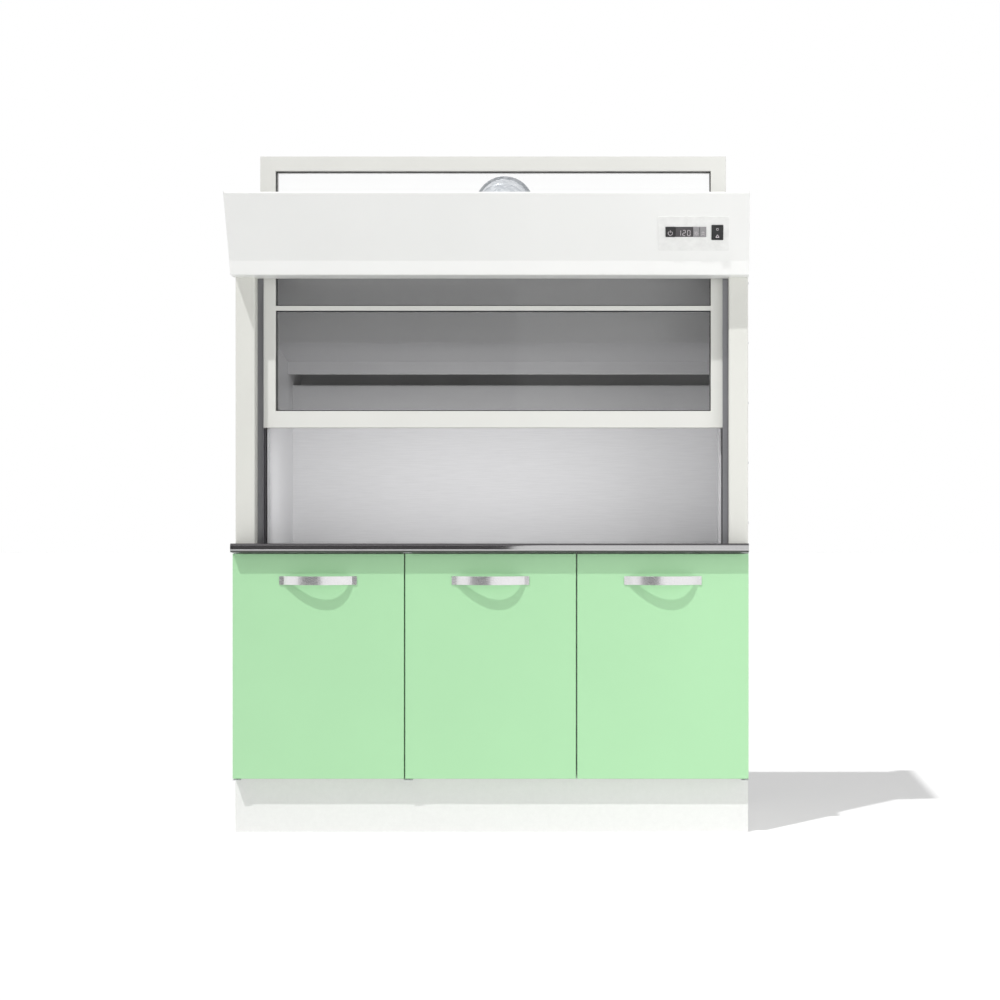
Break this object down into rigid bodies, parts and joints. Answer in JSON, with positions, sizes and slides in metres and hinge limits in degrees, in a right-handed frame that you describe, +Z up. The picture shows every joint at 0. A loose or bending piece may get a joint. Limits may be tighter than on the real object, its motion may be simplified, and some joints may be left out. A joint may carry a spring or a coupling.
{
  "type": "dental laboratory hood",
  "caption": "Floor standing laboratory hood: cabinet with swinging doors, worktop, vertical sash on counterweights, leaning canopy with controls, and a ducted fan.",
  "frame": {"origin": "middle of the footprint box, on the floor", "axes": "+X to the right seen from the front, +Y from the doors to the back, +Z up"},
  "size_m": [1.5, 0.896, 1.992],
  "materials": {
    "white_paint": "satin powder coat, off white",
    "mint_front": "board with a smooth satin mint green laminate face",
    "carcass_board": "white melamine faced board, satin",
    "worktop_resin": "dark grey solid phenolic resin, semi matt",
    "handle_metal": "satin nickel plated strip",
    "liner_panel": "light grey compact laminate",
    "sash_paint": "white powder coated aluminium section, satin",
    "bead_white": "white snap-in glazing bead",
    "guide_dark": "dark grey anodised channel",
    "tinted_glass": "grey tinted toughened glass",
    "clear_glass": "clear toughened glass",
    "black_rubber": "matt glazing gasket",
    "grey_glide": "low friction plastic",
    "steel_zinc": "zinc plated steel",
    "cast_weight": "primed cast iron",
    "cable_steel": "stranded steel cable",
    "duct_steel": "galvanised sheet duct",
    "fan_plastic": "glass filled black plastic",
    "key_black": "dark key cap",
    "key_grey": "grey key cap",
    "display_dark": "smoked display window",
    "plate_white": "white printed panel film without print",
    "lamp_opal": "opal diffuser and tube",
    "black_plastic": "black polyamide"
  },
  "bodies": {
    "frame": {"plinth": "carcass_board", "cabinet_side_left": "carcass_board", "cabinet_side_right": "carcass_board", "dividers": "carcass_board", "cabinet_floor": "carcass_board", "cabinet_back": "carcass_board", "top_rails": "carcass_board", "shelves": "carcass_board", "shelf_pins": "steel_zinc", "hinge_pivots": "steel_zinc", "door_catches": "black_plastic", "worktop": "worktop_resin", "side_casing_left": "white_paint", "side_casing_right": "white_paint", "back_panel": "white_paint", "back_screws": "steel_zinc", "side_liners": "liner_panel", "lower_baffle": "liner_panel", "upper_baffle": "liner_panel", "roof_panel": "white_paint", "lamp_housing": "white_paint", "lamp_tube": "lamp_opal", "lamp_lens": "lamp_opal", "sash_guides": "guide_dark", "sash_cables": "cable_steel", "sheave_brackets": "steel_zinc", "fascia": "white_paint", "soffit": "white_paint", "canopy_cover": "white_paint", "control_plate": "plate_white", "control_box": "black_plastic", "display_window": "display_dark", "rocker_bezel": "black_plastic", "exhaust_collar": "duct_steel", "exhaust_elbow": "duct_steel", "exhaust_spigot": "duct_steel", "fan_motor": "black_plastic", "mains_gland": "black_plastic"},
    "sash": {"sash_frame": "sash_paint", "glazing_gaskets": "black_rubber", "glazing_beads": "bead_white", "glass_lower": "tinted_glass", "glass_middle": "tinted_glass", "glass_top": "clear_glass", "sash_glides": "grey_glide"},
    "weight_left": {"counterweight_left": "cast_weight"},
    "weight_right": {"counterweight_right": "cast_weight"},
    "wheel_left": {"sheave_left": "steel_zinc"},
    "wheel_right": {"sheave_right": "steel_zinc"},
    "left_door": {"door_left": "mint_front", "handle_left": "handle_metal"},
    "middle_door": {"door_middle": "mint_front", "handle_middle": "handle_metal"},
    "right_door": {"door_right": "mint_front", "handle_right": "handle_metal"},
    "rocker": {"power_rocker": "key_black"},
    "fan_button": {"key_fan": "key_black"},
    "light_button": {"key_light": "key_grey"},
    "speed_button": {"key_speed": "key_grey"},
    "impeller": {"fan_impeller": "fan_plastic"}
  },
  "joints": [
    {"name": "sash_lift", "type": "slide", "parent": "frame", "child": "sash", "axis": [0, 0, 1], "range_m": [-0.338, 0.34], "deforming": ["sash_cables"]},
    {"name": "counterweight_left_slide", "type": "slide", "parent": "frame", "child": "weight_left", "axis": [0, 0, 1], "range_m": [-0.345, 0.345]},
    {"name": "counterweight_right_slide", "type": "slide", "parent": "frame", "child": "weight_right", "axis": [0, 0, 1], "range_m": [-0.345, 0.345]},
    {"name": "sheave_left_spin", "type": "hinge", "parent": "frame", "child": "wheel_left", "pos_m": [-0.7055, -0.187, 1.79], "axis": [0, 1, 0], "range_deg": [-1250, 1250]},
    {"name": "sheave_right_spin", "type": "hinge", "parent": "frame", "child": "wheel_right", "pos_m": [0.7055, -0.187, 1.79], "axis": [0, 1, 0], "range_deg": [-1250, 1250]},
    {"name": "door_left_swing", "type": "hinge", "parent": "frame", "child": "left_door", "pos_m": [-0.742, -0.2945, 0.48775], "axis": [0, 0, -1], "range_deg": [0, 100]},
    {"name": "door_middle_swing", "type": "hinge", "parent": "frame", "child": "middle_door", "pos_m": [-0.24, -0.2945, 0.48775], "axis": [0, 0, -1], "range_deg": [0, 100]},
    {"name": "door_right_swing", "type": "hinge", "parent": "frame", "child": "right_door", "pos_m": [0.742, -0.2945, 0.48775], "axis": [0, 0, 1], "range_deg": [0, 100]},
    {"name": "power_rocker_tilt", "type": "hinge", "parent": "frame", "child": "rocker", "pos_m": [0.658, -0.39077, 1.73924], "axis": [1, 0, 0], "range_deg": [0, 16]},
    {"name": "key_fan_press", "type": "slide", "parent": "frame", "child": "fan_button", "axis": [0, 0.8906, 0.4548], "range_m": [0, 0.002], "stiffness_N_per_m": 400, "springref_m": -0.001},
    {"name": "key_light_press", "type": "slide", "parent": "frame", "child": "light_button", "axis": [0, 0.8906, 0.4548], "range_m": [0, 0.002], "stiffness_N_per_m": 400, "springref_m": -0.001},
    {"name": "key_speed_press", "type": "slide", "parent": "frame", "child": "speed_button", "axis": [0, 0.8906, 0.4548], "range_m": [0, 0.002], "stiffness_N_per_m": 400, "springref_m": -0.001},
    {"name": "fan_spin", "type": "hinge", "parent": "frame", "child": "impeller", "pos_m": [0, 0.353, 1.9], "axis": [0, 1, 0], "continuous": true}
  ],
  "couplings": [
    {"joint": "counterweight_left_slide", "follows": "sash_lift", "ratio": -1},
    {"joint": "counterweight_right_slide", "follows": "sash_lift", "ratio": -1},
    {"joint": "sheave_left_spin", "follows": "sash_lift", "rad_per_m": -62.5},
    {"joint": "sheave_right_spin", "follows": "sash_lift", "rad_per_m": 62.5}
  ]
}
